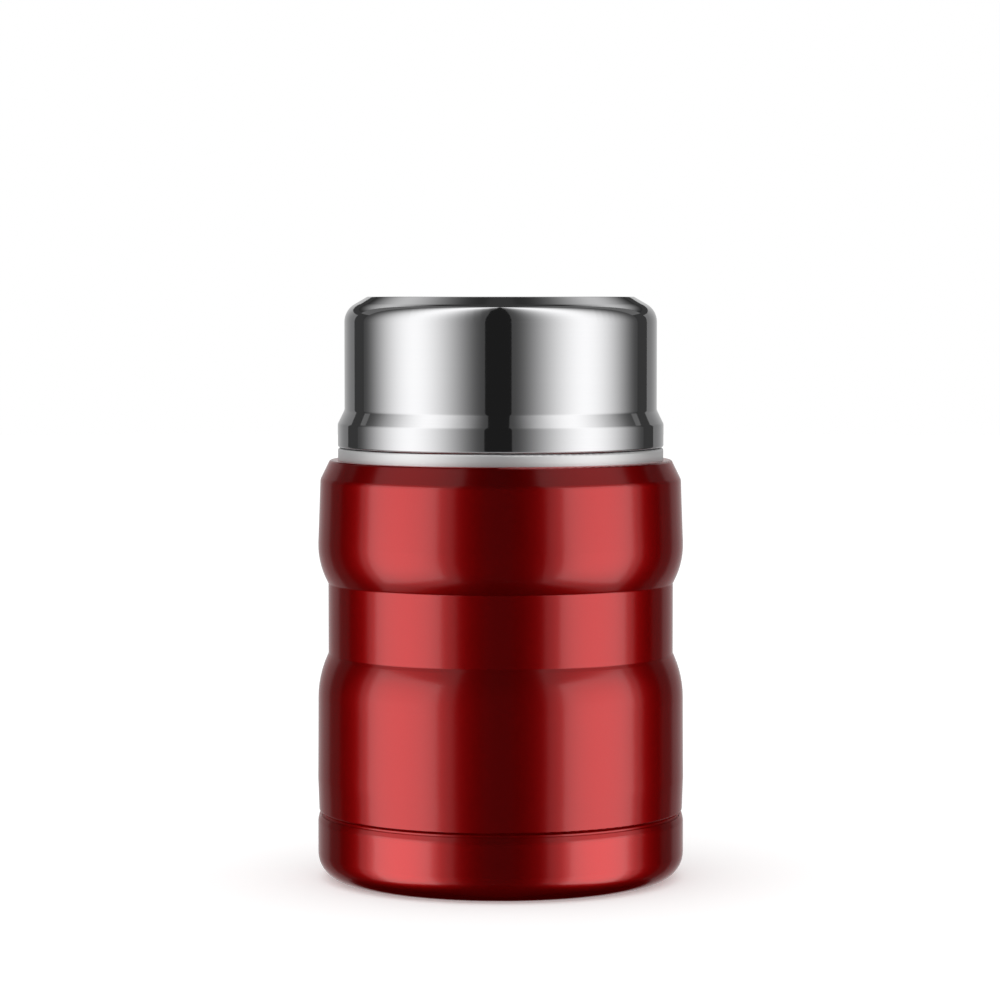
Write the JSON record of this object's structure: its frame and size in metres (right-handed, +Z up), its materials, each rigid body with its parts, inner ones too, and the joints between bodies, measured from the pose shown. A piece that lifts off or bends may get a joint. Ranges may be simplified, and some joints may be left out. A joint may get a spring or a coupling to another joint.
{
  "type": "insulated food jar",
  "caption": "Squat double-walled vacuum food jar with a waisted body, a vented screw stopper and a screw-on serving cup as its lid.",
  "frame": {"origin": "centre of the foot ring, on the surface the jar stands on", "axes": "+Z up along the jar axis, from the foot to the top of the cup; +X and +Y across"},
  "size_m": [0.094, 0.094, 0.1492],
  "materials": {
    "lacquer_red": "metallic red lacquer, glossy",
    "polished_steel": "mirror-polished stainless steel",
    "satin_steel": "satin stainless steel",
    "liner_steel": "electropolished stainless steel",
    "plain_steel": "bare stainless steel",
    "foil": "bright foil",
    "solder_glass": "opaque dark solder glass",
    "getter_metal": "sintered grey metal",
    "stopper_black": "fine matte",
    "foam_white": "expanded foam",
    "button_grey": "satin",
    "silicone_grey": "silicone",
    "spring_steel": "drawn wire"
  },
  "bodies": {
    "vessel": {"outer_shell": "lacquer_red", "base_cup": "lacquer_red", "end_plate": "plain_steel", "evac_seal": "solder_glass", "getter_pellet": "getter_metal", "getter_clip": "plain_steel", "inner_liner": "liner_steel", "liner_foil": "foil", "neck_collar": "satin_steel"},
    "stopper_seal": {"stopper_gasket": "silicone_grey"},
    "stopper": {"stopper_shell": "stopper_black", "stopper_knob": "stopper_black", "stopper_foam": "foam_white", "vent_spring": "spring_steel"},
    "vent": {"vent_button": "button_grey", "vent_stem": "plain_steel", "vent_seal": "silicone_grey", "vent_poppet": "button_grey"},
    "cup_seal": {"cup_gasket": "silicone_grey"},
    "cup": {"cup_inner": "satin_steel", "cup_outer": "polished_steel"}
  },
  "joints": [
    {"name": "stopper_lift", "type": "slide", "parent": "vessel", "child": "stopper_seal", "axis": [0, 0, 1], "range_m": [0, 0.0481]},
    {"name": "stopper_turn", "type": "hinge", "parent": "stopper_seal", "child": "stopper", "pos_m": [0, 0, 0.11], "axis": [0, 0, 1], "range_deg": [0, 1080]},
    {"name": "vent_press", "type": "slide", "parent": "stopper", "child": "vent", "axis": [0, 0, -1], "range_m": [0, 0.0025], "stiffness_N_per_m": 600, "springref_m": -0.002, "deforming": ["vent_spring"]},
    {"name": "cup_lift", "type": "slide", "parent": "stopper", "child": "cup_seal", "axis": [0, 0, 1], "range_m": [0, 0.0481]},
    {"name": "cup_turn", "type": "hinge", "parent": "cup_seal", "child": "cup", "pos_m": [0, 0, 0.115], "axis": [0, 0, 1], "range_deg": [0, 1080]}
  ],
  "couplings": [
    {"joint": "stopper_lift", "follows": "stopper_turn", "m_per_rad": 0.0025465},
    {"joint": "cup_lift", "follows": "cup_turn", "m_per_rad": 0.0025465}
  ]
}
